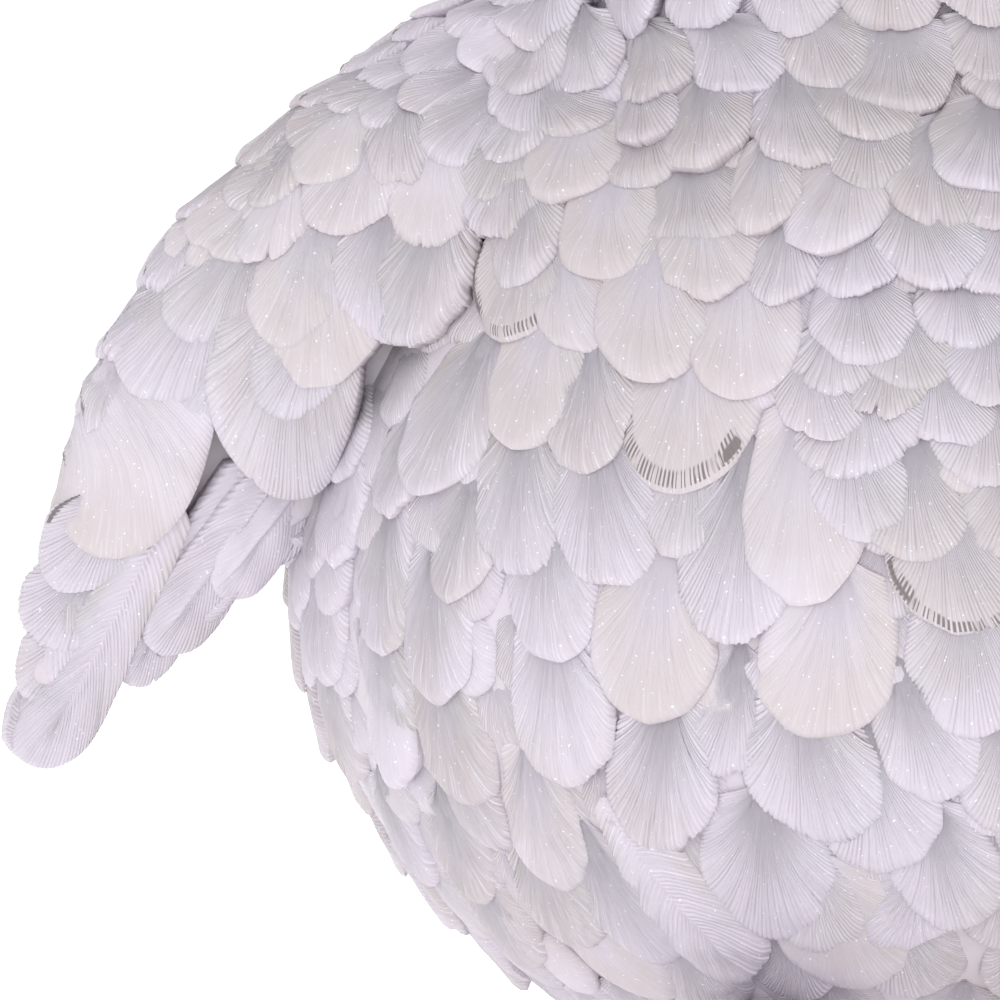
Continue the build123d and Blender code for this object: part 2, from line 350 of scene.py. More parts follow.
def height_of(feather, flat, share, relief, place):
    """Height above the skin of each point of the feather's upper face."""
    width, length = feather["width"], feather["length"]
    v = np.clip(flat[:, :, 1] / length, 0, 1)
    u = flat[:, :, 0] / (0.5 * width)
    height = feather["lift"] + feather["rise"] * v**1.15
    height -= CROWN * feather["crown"] * np.clip(np.abs(u), 0, 1.2) ** 2.2 * v
    height += feather["tilt"] * u * v
    height += wander(len(place), 4, BROAD_WAVES) * v**1.5 * smooth_step(0.0, 0.3, share)
    height += LONG_WAVES * np.sin(1.1 * flat[:, :, 1] + 3 * u + feather["seed"]) * v
    height += relief * smooth_step(0.12, 0.45, share)
    if feather["kind"] == "shaft":
        height += SHAFT_HEIGHT * np.exp(-((u / 0.07) ** 2)) * smooth_step(1.0, 0.8, v)
    near = np.clip(1 - np.array(rim_distances(feather)) / RIM_WIDTH, 0, 1)
    drop = RIM_DROP * np.clip(1 + wander(len(place), 5, 0.3), 0.3, 1.6)
    height[-len(near):] -= drop * (near**2.2)[:, None]
    return height


def grow(feather):
    """Closed mesh of one feather: vertices, faces, texture places and vertex values."""
    flat, share, relief, place, barbs = flat_feather(feather)
    rows, columns = share.shape
    height = height_of(feather, flat, share, relief, place)
    heading, across, tip = feather["heading"], feather["across"], feather["tip"]
    steps = flat.reshape(-1, 2)
    base = tip + (steps[:, 1:] - feather["length"]) * heading + steps[:, :1] * across
    base, normal = feather["surface"](base)
    top = base + normal * height.reshape(-1, 1)

    index = np.arange(rows * columns).reshape(rows, columns)
    ring = np.concatenate([index[:-1, 0], index[-1, :], index[-2::-1, -1]])
    middle = base[ring].mean(0)
    inwards = middle - base[ring]
    inwards /= np.linalg.norm(inwards, axis=1, keepdims=True) + 1e-9
    low = top[ring] - normal[ring] * feather["thickness"] + inwards * UNDERCUT
    vertices = np.vstack([top, low, low.mean(0)])

    quads = np.stack([index[:-1, :-1], index[:-1, 1:], index[1:, 1:], index[1:, :-1]], -1).reshape(-1, 4)
    lower = rows * columns + np.arange(len(ring))
    following = np.roll(np.arange(len(ring)), -1)
    skirt = np.stack([ring, ring[following], lower[following], lower], 1)
    hub = np.full(len(ring), len(vertices) - 1)
    floor = np.stack([lower, lower[following], hub], 1)

    values = paint_values(feather, flat, share, place, barbs, ring)
    return vertices, quads, skirt, floor, values


def paint_values(feather, flat, share, place, barbs, ring):
    """Values at each vertex that the feather's paint follows."""

    def over_mesh(grid, last):
        top = grid.reshape(-1)
        return np.concatenate([top, top[ring], [last]])

    u = np.broadcast_to((place * 0.5 + 0.5) * barbs + feather["seed"], share.shape)
    v = flat[:, :, 1] / 10 + feather["seed"]
    band = 0.97 - 1.3 / feather["length"]
    mark = feather["mark"](place) * smooth_step(band - 0.03, band, share) * smooth_step(0.98, 0.96, share)
    count = share.size + len(ring) + 1
    return {
        "u": over_mesh(u, u[0, 0]),
        "v": over_mesh(v, v[0, 0]),
        "mark": over_mesh(mark, 0.0),
        "rim": over_mesh(share, 0.0),
        "tone": np.full(count, feather["tone"]),
        "smooth": np.full(count, feather["smooth"]),
    }


def no_mark(place):
    return np.zeros_like(place)


def rim_mark(*strips):
    """Dark paint on strips of the rim, each with its start and end (-1 to 1), and how solid it is."""

    def mark(place):
        paint = np.zeros_like(place)
        for start, end, strength in strips:
            inside = smooth_step(start - 0.03, start + 0.02, place)
            inside *= smooth_step(end + 0.03, end - 0.02, place)
            paint = np.maximum(paint, strength * inside)
        return paint

    return mark


def feather_at(tip, heading, surface, width, length, **changes):
    """Feather with its tip at a point of a surface, pointing along a heading."""
    tip, normal = surface(np.array([tip], float))
    tip, normal = tip[0], normal[0]
    heading = np.array(heading, float)
    heading -= (heading @ normal) * normal
    heading /= np.linalg.norm(heading)
    feather = {
        "tip": tip, "heading": heading, "across": np.cross(heading, normal), "surface": surface,
        "width": width, "length": length, "kind": "fan", "fine": False, "thickness": THICKNESS,
        "lift": ROOT_LIFT + RNG.normal() * 0.12, "rise": TIP_RISE * RNG.uniform(0.9, 1.12),
        "crown": RNG.uniform(0.6, 1.3), "tilt": RNG.normal() * 0.28, "bend": RNG.normal() * 0.15 * width,
        "ragged": RNG.uniform(0, 1) ** 2, "smooth": float(RNG.random() < 0.15) * RNG.uniform(0.3, 0.7),
        "tone": RNG.uniform(0, 1), "seed": int(RNG.integers(0, 60)), "mark": no_mark,
    }
    feather.update(changes)
    return feather


# ------------------------------------------------------------------ laying feathers

# A front feather's place is found by coming in from this far in front of the owl, in at most so many
# steps, until its tip would stand this high off the skin. Its hidden root is longer by a quarter.
APPROACH_Y = -130.0
APPROACH_STEPS = 90
TIP_STAND = 1.5
HIDDEN_ROOT = 1.25

def front_point(x, z, field):
    """Point of a field's surface whose feather's tip shows at (x, z) from the front."""
    point = np.array([[x, APPROACH_Y, z]])
    for _ in range(APPROACH_STEPS):
        gap = field(point)[0][0] - TIP_STAND
        point[0, 1] += max(gap * 0.8, 0.02)
        if gap < 0.03 or point[0, 1] > -2:
            break
    return settle(point, field)[0][0]


def front_heading(point, lean, surface):
    """Tangent of the surface that leans by so many degrees from straight down, from the front."""
    _, normal = surface(np.array([point], float))
    turn = math.radians(lean)
    aim = np.array([math.sin(turn), 0, -math.cos(turn)])
    facing = min(normal[0, 1], -0.3)
    aim[1] = -(aim @ normal[0]) / facing
    return aim


def mirror_surface(surface):
    """The same surface on the owl's left side."""

    def other_side(points):
        place, normal = surface(points * MIRROR)
        return place * MIRROR, normal * MIRROR

    return other_side


def mirror_mark(mark):
    """The same paint, with the two halves of the rim exchanged."""

    def other_way(place):
        return mark(-place)

    return other_way


def mirrored(feather_list):
    """The same feathers on the owl's left side. Each gets its own random relief."""
    for feather in feather_list:
        if feather["tip"][0] > -MIDDLE:
            continue
        twin = dict(feather)
        twin["surface"] = mirror_surface(feather["surface"])
        twin["tip"] = feather["tip"] * MIRROR
        twin["heading"] = feather["heading"] * MIRROR
        twin["across"] = -feather["across"] * MIRROR
        twin["bend"] = -feather["bend"]
        twin["tilt"] = -feather["tilt"]
        twin["seed"] = int(RNG.integers(0, 60))
        twin["mark"] = mirror_mark(feather["mark"])
        yield twin


# What is special about single feathers. Strokes are dark paint on part of the rim.
SMOOTH = {"smooth": 0.6, "ragged": 0.05, "tone": 0.95}
RAGGED = {"smooth": 0.0, "ragged": 1.0}
RIDGED = {"smooth": 0.0, "tone": 0.1}
BREAST_MARK = rim_mark((-0.38, -0.26, 2.0), (-0.28, 0.42, 1.0), (0.42, 0.52, 1.7))
BREAST_STROKES = {"mark": BREAST_MARK, "smooth": 0.5, "ragged": 0.0}
SHOULDER_STROKES = {"mark": rim_mark((0.3, 0.7, 1.7), (-0.3, 0.3, 1.0)), "smooth": 0.3, "ragged": 0.2}
EDGE_STROKES = {"mark": rim_mark((0.5, 0.95, 1.7)), "ragged": 0.1}
BELLY_STROKES = {"mark": rim_mark((0.36, 0.62, 1.6), (-0.2, 0.36, 1.0)), "ragged": 0.2}

# Feathers of the front, each with its tip's x and z, its lean from straight down in degrees, its
# width and length, and what is special about it.
RUFF = [
    (-46.5, 117.0, -6, 9, 12), (-39.5, 118.0, 4, 10, 12), (-31.0, 119.0, 0, 11, 12),
    (-22.0, 117.0, 0, 11, 12), (-12.0, 118.0, 2, 11, 12), (-2.0, 116.5, 0, 12, 12),
    (-26.5, 112.5, 0, 11, 12), (-17.0, 112.0, 2, 11, 12),
    (-7.5, 112.0, 0, 12, 12), (2.0, 112.5, 0, 12, 12), (-34.5, 112.5, 2, 10, 12), (-41.5, 113.0, 0, 8, 12),
    (-43.8, 109.0, -2, 7.5, 14), (-37.5, 105.5, 4, 9, 14), (-31.5, 105.5, -4, 11, 15, RAGGED),
    (-23.6, 105.8, 2, 12.5, 14), (-14.5, 106.5, 2, 11, 13), (-6.8, 103.6, 0, 14.5, 14, RIDGED),
    (3.5, 105.6, 4, 13, 14), (-33.0, 101.0, 8, 8, 12), (-26.8, 98.3, 4, 12, 14),
    (-18.6, 97.5, 0, 11.5, 16, RAGGED), (-11.0, 100.4, 6, 12, 13), (1.6, 95.0, -8, 14, 13, RIDGED),
    (-5.8, 91.4, -14, 12.5, 14), (-20.5, 91.4, 2, 9, 12), (-14.2, 88.5, -10, 12, 15),
    (-3.8, 84.7, 8, 13, 13), (5.0, 84.0, 0, 12, 14), (-9.5, 95.5, 4, 10, 12),
]
SHOULDER = [
    (-50.0, 116.0, -30, 10, 9), (-47.5, 111.5, -10, 9, 10), (-55.0, 113.5, -50, 9, 10),
    (-46.0, 106.5, -6, 9, 10), (-52.0, 108.5, -30, 9, 10), (-39.5, 107.0, 4, 9, 10),
    (-41.0, 95.4, 4, 13, 12, SMOOTH), (-32.0, 97.4, 14, 12.5, 13), (-41.5, 101.8, 26, 10, 11),
    (-50.0, 103.0, -22, 10, 11), (-56.7, 99.2, -36, 12, 13), (-48.2, 99.2, -10, 8.5, 11),
    (-48.3, 94.8, -4, 11, 12), (-50.6, 90.8, -14, 13, 13), (-28.4, 89.8, 6, 15, 14),
    (-38.9, 86.3, -4, 13, 14, SMOOTH), (-27.3, 83.9, 4, 13, 13), (-17.9, 84.0, 6, 9, 12),
    (-11.6, 84.4, 2, 12, 11), (-57.0, 89.8, -6, 11, 14), (-60.4, 96.4, -4, 9, 12),
    (-35.2, 75.4, -6, 15, 16, SMOOTH), (-23.4, 73.8, 4, 13.5, 18, SMOOTH), (-45.5, 86.5, 4, 10, 13),
    (-50.4, 80.2, -18, 14, 15, SHOULDER_STROKES), (-57.2, 79.6, -8, 13, 15, RAGGED),
    (-64.0, 80.4, -14, 12, 15, RAGGED), (-43.5, 78.0, 0, 11, 14), (-29.6, 64.0, 0, 17, 19, BREAST_STROKES),
]
FLANK = [
    (-66.7, 64.7, 0, 11, 12), (-57.2, 63.4, -14, 15, 18), (-47.0, 68.6, -8, 14, 17, SMOOTH),
    (-60.0, 61.0, -2, 13, 12), (-66.0, 56.0, 4, 12, 13), (-40.0, 66.0, 2, 12, 15),
    (-47.8, 54.4, 2, 14, 18, RAGGED), (-38.6, 53.0, 6, 14, 18, RIDGED), (-61.6, 46.4, 8, 12, 17),
    (-55.6, 41.2, 10, 13, 17), (-44.0, 46.2, 6, 13, 16), (-68.6, 43.6, 6, 13, 15),
    (-60.4, 37.2, 18, 12, 15), (-58.6, 31.6, 22, 11, 14), (-65.5, 33.0, 18, 12, 15),
    (-53.0, 30.4, 20, 13, 17), (-51.2, 25.4, 26, 11, 14), (-50.0, 19.2, 34, 12, 14),
    (-69.0, 54.5, 0, 11, 13), (-57.0, 21.0, 30, 12, 14), (-53.5, 52.0, 0, 12, 14),
]
BREAST = [
    (-11.4, 77.2, 2, 12, 11), (-1.0, 78.2, 0, 12, 11), (-6.3, 74.4, 6, 12, 10),
    (-14.2, 73.4, -2, 11, 10), (-7.9, 71.4, 4, 11, 9), (1.8, 72.8, -4, 12, 10), (-16.0, 69.0, 2, 11, 11),
    (-10.5, 65.2, 6, 16, 13), (2.0, 64.2, 0, 14, 13), (-12.0, 58.4, 4, 12, 13),
    (-6.3, 56.8, 0, 13, 12), (6.0, 58.0, 0, 13, 13), (-3.5, 68.8, 0, 13, 10),
]
BELLY = [
    (-29.0, 57.0, 2, 12, 14), (-23.1, 48.0, 4, 15, 19, RAGGED), (-17.6, 52.2, 2, 14, 20, SMOOTH),
    (-2.0, 48.8, 4, 15, 15, BELLY_STROKES), (-34.0, 39.8, -2, 15.5, 18, SMOOTH),
    (-40.2, 32.4, 18, 15, 19), (-14.0, 37.4, 2, 16, 18, SMOOTH), (0.6, 38.4, 4, 14.5, 16),
    (-31.0, 25.8, 8, 14.5, 18, RIDGED), (-16.8, 26.4, 6, 16.5, 18, RIDGED),
    (-20.0, 17.1, 10, 16, 17, RIDGED), (-8.2, 23.6, 14, 14.5, 16), (-43.4, 21.6, 20, 12, 17),
    (-1.0, 17.8, 16, 13, 15), (-2.4, 31.6, 22, 12, 14), (-40.0, 15.0, 34, 13, 17),
    (-10.0, 11.6, 30, 16, 17, SMOOTH), (-31.5, 13.5, 40, 13, 17), (-44.0, 12.0, 44, 12, 16),
    (-26.0, 8.0, 34, 14, 16), (6.0, 27.0, 6, 14, 15), (-21.0, 12.4, 52, 13, 24, {"kind": "shaft"}),
    (-24.0, 33.5, 4, 11, 13, {"lift": -0.9}),
]
WING_COVERTS = [
    (-53.5, 110.8, -56, 10, 10, SMOOTH), (-60.0, 111.5, -64, 9, 11), (-59.5, 105.4, -54, 9, 10),
    (-64.5, 108.5, -60, 8, 11), (-68.6, 106.5, -62, 8, 12, EDGE_STROKES), (-72.4, 103.4, -60, 9, 13),
    (-64.0, 103.5, -40, 9, 11), (-68.3, 96.6, -22, 12.5, 14, SMOOTH), (-72.5, 94.0, -10, 9, 12),
    (-76.4, 99.4, -58, 8, 12), (-78.8, 96.0, -56, 9, 14), (-65.6, 91.0, -16, 12, 13),
    (-72.7, 87.9, -8, 11, 13),
    (-83.0, 92.4, -54, 9, 14, EDGE_STROKES), (-79.0, 89.0, -36, 11, 13), (-85.0, 89.5, -50, 11, 15, SMOOTH),
    (-85.2, 82.4, -50, 12, 16), (-88.4, 75.2, -42, 16, 19), (-71.4, 79.0, -14, 13, 15),
    (-68.6, 75.0, -8, 17, 17), (-78.6, 67.2, -32, 19, 21), (-89.5, 84.5, -48, 8, 13, EDGE_STROKES),
    (-94.6, 58.0, -30, 20, 20, {**SMOOTH, "lift": 0.3}), (-95.0, 75.5, -44, 9, 14, EDGE_STROKES),
    (-97.0, 66.0, -34, 10, 16),
    (-71.5, 71.0, -22, 12, 14), (-83.0, 72.5, -38, 12, 15, {"lift": -1.0}),
]
WING_FLIGHT = [
    (-75.8, 55.4, -30, 9, 24, {"lift": -1.2}), (-79.6, 53.4, -32, 8.5, 28, {"lift": -0.7}),
    (-82.4, 51.2, -30, 8, 28, {"lift": -1.3}), (-86.2, 47.0, -29, 9, 32, {"lift": -0.6}),
    (-90.4, 43.4, -27, 8, 32, {"lift": -1.2}), (-98.4, 34.2, -24, 9.5, 38, {"lift": 0.2}),
]
WING_STACK = [
    (-98.4, 40.8, -28, 10.5, 16), (-97.0, 46.8, -28, 12, 16), (-94.6, 53.0, -30, 12, 17, EDGE_STROKES),
]
BROW = [
    (-8.0, 163.0, 0, 8, 8), (-14.5, 166.0, 0, 9, 9), (-21.5, 166.0, 0, 9, 9), (-28.0, 163.0, 0, 8, 8),
    (-4.5, 157.5, 0, 7, 8), (0.0, 160.5, 0, 7, 8), (-2.5, 153.0, 0, 6.5, 8), (0.0, 155.0, 0, 7, 8),
]


def front_feathers(layout, field, surface, **changes):
    """Feathers of a layout on a surface that faces the front."""
    made = []
    for x, z, lean, width, length, *special in layout:
        point = front_point(x, z, field)
        heading = front_heading(point, lean, surface)
        looks = {"fine": True, **changes, **(special[0] if special else {})}
        made.append(feather_at(point, heading, surface, width, HIDDEN_ROOT * length, **looks))
    return made


def end_feathers(layout, side, **changes):
    """Feathers of a layout on the wing's flat end, front or back."""
    surface = wing_end(side)
    made = []
    for x, z, lean, width, length, *special in layout:
        turn = math.radians(lean)
        aim = (math.sin(turn), 0, -math.cos(turn))
        looks = {**changes, **(special[0] if special else {})}
        made.append(feather_at((x, 0, z), aim, surface, width, length, **looks))
    return made


def wing_back_feathers():
    """Coverts over the back of the wing, in rows from the shoulder to the tip."""
    made = []
    for station in np.linspace(1.0, 5.6, 12):
        centre, half, _, chord = wing_at(station)
        ahead = wing_at(station + 0.3)[0]
        count = max(2, round(2 * half / 7.5))
        for across in np.linspace(-0.85, 0.85, count):
            tip = centre + across * half * chord + [0, 14 * math.sqrt(1 - across**2), 0]
            heading = ahead - centre + RNG.normal(size=3) * 0.4
            made.append(feather_at(tip, heading, on_blade, 10.5, 15))
    return made


def wing_edge_feathers():
    """Narrow feathers that wrap the wing's leading edge, most with a dark stroke in front."""
    made = []
    for station in np.arange(1.2, 6.6, 0.42):
        centre, half, _, chord = wing_at(station)
        ahead = wing_at(station + 0.2)[0]
        for forward in (4.5, -1.0, -6.0):
            tip = centre + (half - 1) * chord - [0, forward, 0]
            heading = ahead - centre + RNG.normal(size=3) * 0.3
            looks = {"fine": forward > 0, "lift": -0.2, "rise": 1.7}
            if forward > 0 and RNG.random() < 0.8:
                looks["mark"] = rim_mark((0.1, 0.6, 1.7))
            made.append(feather_at(tip, heading, on_blade, 7, 14, **looks))
    return made


def ring_rows(z_start, z_end, row_step):
    """Heights of rows down the body or the head, evenly spaced along the skin."""
    heights = []
    z = z_start
    while z > z_end:
        heights.append(z)
        _, normal = settle(np.array([[0.0, 60.0, z]]), body_field)
        slope = math.hypot(normal[0, 0], normal[0, 1])
        z -= row_step * max(slope, 0.35)
    return heights


def ring_feathers(heights, width, length, keep, surface=on_skin, **changes):
    """Rows of feathers all round, which point down the skin."""
    made = []
    for row, z in enumerate(heights):
        radius = ring_radius(z)
        count = max(6, round(2 * math.pi * radius / (width * 0.8)))
        for place in range(count):
            turn = 2 * math.pi * (place + 0.5 * (row % 2) + RNG.normal() * 0.08) / count
            tip = (radius * math.sin(turn), radius * math.cos(turn), z + RNG.normal() * 0.8)
            size = RNG.uniform(0.88, 1.15)
            if not keep(*tip) or in_wing(*tip):
                continue
            sway = RNG.normal() * 0.12
            heading = (math.cos(turn) * sway, -math.sin(turn) * sway, -1)
            made.append(feather_at(tip, heading, surface, width * size, length * size, **changes))
    return made


def shoulder_top_feathers():
    """Rows over the top of the shoulder, between the head and the wing."""
    made = []
    for y in (9.0, 3.0, -3.0, -9.0, -15.0):
        for x in (-63.0, -57.0, -51.0, -45.0):
            tip = (x + RNG.normal() * 0.7, y + RNG.normal() * 0.7, 170 + x)
            heading = (-0.7, 0.1 * RNG.normal(), -0.7)
            made.append(feather_at(tip, heading, on_owl, 10, 13, lift=-0.3))
    return made


def in_wing(x, y, z):
    """Whether a place on the body is deep inside a wing, or in the fold under it."""
    distance = wing_field(np.array([[-abs(x), y, z]]))[0][0]
    return distance < (INSIDE_WING if z > FOLD_TOP else FOLD_GAP)


def ring_radius(z):
    """Radius of the skin at a height."""
    point, _ = settle(np.array([[0.0, 40.0, z]]), level_field)
    return point[0, 1]


def level_field(points):
    """The body's field with its normal laid level, to find the skin at a fixed height."""
    distance, normal = body_field(points)
    level = normal.copy()
    level[:, 2] = 0
    size = np.linalg.norm(level, axis=1, keepdims=True) + 1e-6
    return distance / np.maximum(size[:, 0], 0.2), level / size


# Right eye: the way it looks, its ball, and the middle and the hollow of the face around it.
EYE_Z = 147.0
EYE_OUT = np.array([-0.372, -0.928, 0.0])
EYE_CENTRE = 41.5 * EYE_OUT + [0, 0, EYE_Z]
EYE_RADIUS = 9.2
EYE_SPREAD = 66
EYE_FACE_RADIUS = 7.8
FACE_MIDDLE = 48 * EYE_OUT + [0, 0, EYE_Z]
FACE_DIP = 2.6
FACE_REACH = 15.0
CORE_FACE_DIP = 1.2

# Rings of feathers around the eye, outer first: reach, number, width and length.
FACE_RINGS = [(21.5, 24, 6.5, 9), (17.0, 22, 5.6, 8), (12.6, 20, 4.6, 6)]
FACE_CLEAR = 17.5
BEAK_HALF_WIDTH = 6.0
BEAK_LOW = 132.0
BEAK_HIGH = 150.0
BRIDGE = -1.5


def face_dip(points):
    """How far the face is hollowed around each eye."""
    near = flip_to_right(points) * points - FACE_MIDDLE
    return FACE_DIP * np.exp(-np.sum(near**2, 1) / FACE_REACH**2)


def on_face(points):
    """Skin of the head with its hollows."""

    def field(place):
        distance, normal = body_field(place)
        return distance + face_dip(place), normal

    return settle(points, field)


def face_feathers():
    """Feathers that fan out from the right eye, the outer rings first."""
    up = np.array([0, 0, 1.0])
    sideways = np.cross(EYE_OUT, up)
    made = []
    for reach, count, width, length in FACE_RINGS:
        for place in range(count):
            turn = 2 * math.pi * (place + 0.1 * RNG.normal()) / count
            heading = math.cos(turn) * sideways + math.sin(turn) * up
            tip = FACE_MIDDLE + reach * heading
            tip[0] = min(tip[0], BRIDGE)
            made.append(feather_at(tip, heading, on_face, width, length, rise=1.5))
    return made


def in_face(x, y, z):
    """Whether a place on the head is taken by the feathers around the eyes, or the beak."""
    near_eye = np.linalg.norm(np.array([-abs(x), y, z]) - FACE_MIDDLE) < FACE_CLEAR
    near_beak = abs(x) < BEAK_HALF_WIDTH and BEAK_LOW < z < BEAK_HIGH
    return y < 0 and (near_eye or near_beak)


# Tail from its root to its end: the middle's y and z, half the width, half the thickness.
TAIL_PATH = np.array([(46.0, 42.0), (63.0, 28.0), (78.0, 16.0), (90.0, 7.5)])
TAIL_HALF_WIDTHS = np.array([17.0, 22.0, 25.0, 20.0])
TAIL_HALF_DEPTHS = np.array([10.0, 8.0, 5.6, 3.6])
TAIL_AHEAD = (TAIL_PATH[-1] - TAIL_PATH[0]) / np.linalg.norm(TAIL_PATH[-1] - TAIL_PATH[0])

# Tail feathers, outer first: how far from the middle, reach from the root, width and length. Then
# the rows of coverts over them: reach and number.
TAIL_ROWS = [(20, 54, 12, 46), (13.5, 55.5, 12, 46), (7, 56.5, 12.5, 46), (0, 57, 13, 46)]
TAIL_COVERTS = [(30, 5), (22, 5), (14, 4)]


def tail_sheet(side):
    """Top (side 1) or underside (side -1) of the tail."""
    away = side * np.array([-TAIL_AHEAD[1], TAIL_AHEAD[0]])

    def surface(points):
        station = (points[:, 1:] - TAIL_PATH[0]) @ TAIL_AHEAD
        stops = (TAIL_PATH - TAIL_PATH[0]) @ TAIL_AHEAD
        half_width = np.interp(station, stops, TAIL_HALF_WIDTHS)
        depth = np.interp(station, stops, TAIL_HALF_DEPTHS) - SKIN_DEPTH
        across = np.clip(points[:, 0] / half_width, -1.1, 1.1)
        rise = depth * (1 - 0.6 * across**2)
        placed = points.copy()
        placed[:, 1:] = TAIL_PATH[0] + station[:, None] * TAIL_AHEAD + rise[:, None] * away
        normal = np.zeros_like(points)
        normal[:, 0] = 1.2 * depth * across / half_width
        normal[:, 1:] = away
        return placed, normal / np.linalg.norm(normal, axis=1, keepdims=True)

    return surface


def tail_feathers():
    """Long tail feathers, the middle ones on top, with rows of coverts over them."""
    ahead = np.array([0, *TAIL_AHEAD])
    start = np.array([0, *TAIL_PATH[0]])
    made = []
    for side in (1, -1):
        surface = tail_sheet(side)
        for row, (x, reach, width, length) in enumerate(TAIL_ROWS):
            for sign in ((1, -1) if x else (1,)):
                heading = ahead + [0.22 * sign * x / 20, 0, 0]
                looks = {"kind": "shaft", "lift": -1.6 + 0.45 * row, "rise": 1.2, "fine": side > 0}
                tip = start + reach * ahead + [sign * x, 0, 0]
                made.append(feather_at(tip, heading, surface, width, length, **looks))
        for reach, count in TAIL_COVERTS:
            lift = -0.2 + (30 - reach) * 0.03
            for x in np.linspace(-0.8, 0.8, count) * (14 + reach * 0.25):
                tip = start + (reach + RNG.normal()) * ahead + [x, 0, 0]
                heading = ahead + [0.012 * x, 0, 0]
                made.append(feather_at(tip, heading, surface, 11, 17, lift=lift))
    return made


# Right foot: where the toes start, how far they reach, their radius, and the ankle's ball.
FOOT = np.array([-21.0, -38.0])
TOE_REACH = 22.0
TOE_RADIUS = 4.6
TOE_SKIN = 0.9
TOE_SPREADS = np.radians([-24.0, 0.0, 24.0])
ANKLE = np.array([FOOT[0], FOOT[1] + 2, 2.2])
ANKLE_RADIUS = 7.6

# Rows of feathers down a toe: reach, and how far round the toe each feather lies, in degrees.
TOE_ROWS = [(20.5, (-55, 0, 55)), (16.0, (-80, -28, 28, 80)), (11.5, (-55, 0, 55)), (7.0, (-80, -28, 28, 80))]


def toe_line(turn):
    """Start and end of a toe's middle line."""
    start = np.array([FOOT[0] + 4 * math.sin(turn), FOOT[1], TOE_RADIUS])
    end = start + [0, 4, -0.8]
    end[0] = FOOT[0] + TOE_REACH * math.sin(turn)
    end[1] -= TOE_REACH * math.cos(turn)
    return start, end


def ball_field(points, centre, radius):
    """Distance outside a ball, and the outward normal there."""
    gap = points - centre
    size = np.linalg.norm(gap, axis=1)
    return size - radius, gap / (size[:, None] + 1e-9)


def on_foot(points):
    """Skin of the right foot's toes and ankle."""

    def field(place):
        best = None
        for turn in TOE_SPREADS:
            start, end = toe_line(turn)
            span = end - start
            share = np.clip((place - start) @ span / (span @ span), 0, 1)[:, None]
            toe = ball_field(place, start + share * span, TOE_RADIUS - TOE_SKIN)
            best = toe if best is None else blend_fields(best, toe, 2.0)
        return blend_fields(best, ball_field(place, ANKLE, ANKLE_RADIUS), 3.0)

    return settle(points, field)


def foot_feathers():
    """Short feathers down the toes of the right foot."""
    made = []
    for turn in TOE_SPREADS:
        along = np.array([math.sin(turn), -math.cos(turn), 0])
        for reach, tilts in TOE_ROWS:
            middle = np.array([FOOT[0], FOOT[1], 4.0]) + reach * along
            for lean in np.radians(tilts):
                side = np.array([along[1], -along[0], 0]) * math.sin(lean)
                tip = middle + 5 * (side + [0, 0, math.cos(lean)])
                heading = along - [0, 0, 0.15]
                made.append(feather_at(tip, heading, on_foot, 4.6, 7.5, rise=1.1, thickness=1.6))
    return made


# ------------------------------------------------------------------ meshes


def dress(piece, nodes):
    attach(piece, "root")
    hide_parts(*nodes)
    return piece


def closed_tube(name, rings, material, nodes, inside_out=False):
    """Smooth mesh through rings of points, in millimetres about the axis, closed at both ends."""
    rows, columns = rings.shape[:2]
    faces = []
    for first in range(0, (rows - 1) * columns, columns):
        for column in range(columns):
            after = (column + 1) % columns
            quad = (column, after, columns + after, columns + column)
            faces.append(tuple(first + corner for corner in quad))
    faces.append(tuple(range(columns))[::-1])
    faces.append(tuple(range((rows - 1) * columns, rows * columns)))
    if inside_out:
        faces = [face[::-1] for face in faces]
    mesh = bpy.data.meshes.new(name)
    placed = (rings.reshape(-1, 3) + [0, AXIS_Y, 0]) * MM
    mesh.from_pydata(placed.tolist(), [], faces)
    mesh.polygons.foreach_set("use_smooth", [True] * len(mesh.polygons))
    mesh.update()
    mesh.materials.append(material)
    piece = bpy.data.objects.new(name, mesh)
    bpy.context.scene.collection.objects.link(piece)
    return dress(piece, nodes)


def circle(columns):
    """Cosine and sine of each of a ring's points, as columns of one number."""
    turns = np.linspace(0, 2 * math.pi, columns, endpoint=False)[:, None]
    return np.cos(turns), np.sin(turns)


def feather_piece(name, feathers, material, nodes):
    """Closed feathers in as few pieces as stay under the triangle limit, standing for CAD nodes."""
    batch, count, part = [], 0, 1
    for feather in feathers:
        grown = grow(feather)
        size = 2 * len(grown[1]) + 2 * len(grown[2]) + len(grown[3])
        if count + size > MAX_TRIANGLES:
            feather_mesh(f"{name}_{part}", batch, material, nodes)
            batch, count, part = [], 0, part + 1
        batch.append(grown)
        count += size
    feather_mesh(name if part == 1 else f"{name}_{part}", batch, material, nodes)


